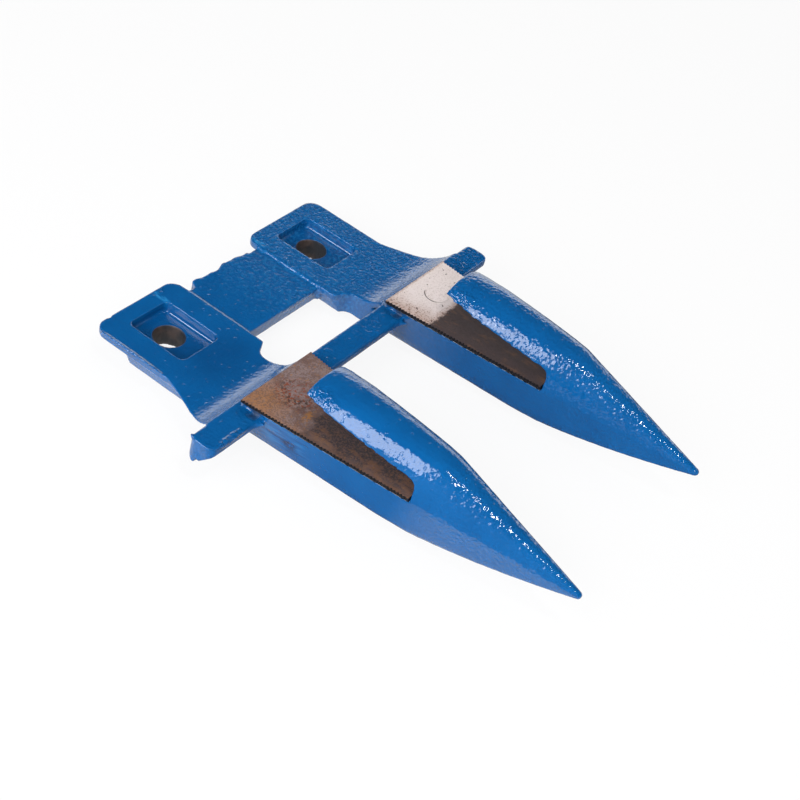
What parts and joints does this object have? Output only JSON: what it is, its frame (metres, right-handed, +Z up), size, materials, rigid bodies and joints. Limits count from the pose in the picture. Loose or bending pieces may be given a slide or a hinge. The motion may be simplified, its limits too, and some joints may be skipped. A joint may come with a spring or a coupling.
{
  "type": "mower knife guard",
  "caption": "Mower knife guard: a blue painted casting with pointed slotted fingers, serrated ledger plates riveted to them, a cross bar and bolt lugs joined by a web.",
  "frame": {"origin": "midway between the bolt holes, on the lower face of the bolt bosses", "axes": "+X across the guard from the left finger to the right finger, -Y the way the fingers point, +Z up out of the bar seat"},
  "size_m": [0.153, 0.1791, 0.0366],
  "materials": {
    "blue_paint": "gloss paint over a rough casting",
    "left_ledger_steel": "brown rust",
    "right_ledger_steel": "bare steel, darkened towards the slot",
    "rivet_steel": "bare steel, stained"
  },
  "bodies": {
    "root": {"guard_body": "blue_paint", "left_ledger_plate": "left_ledger_steel", "right_ledger_plate": "right_ledger_steel", "ledger_rivets": "rivet_steel"}
  },
  "joints": []
}
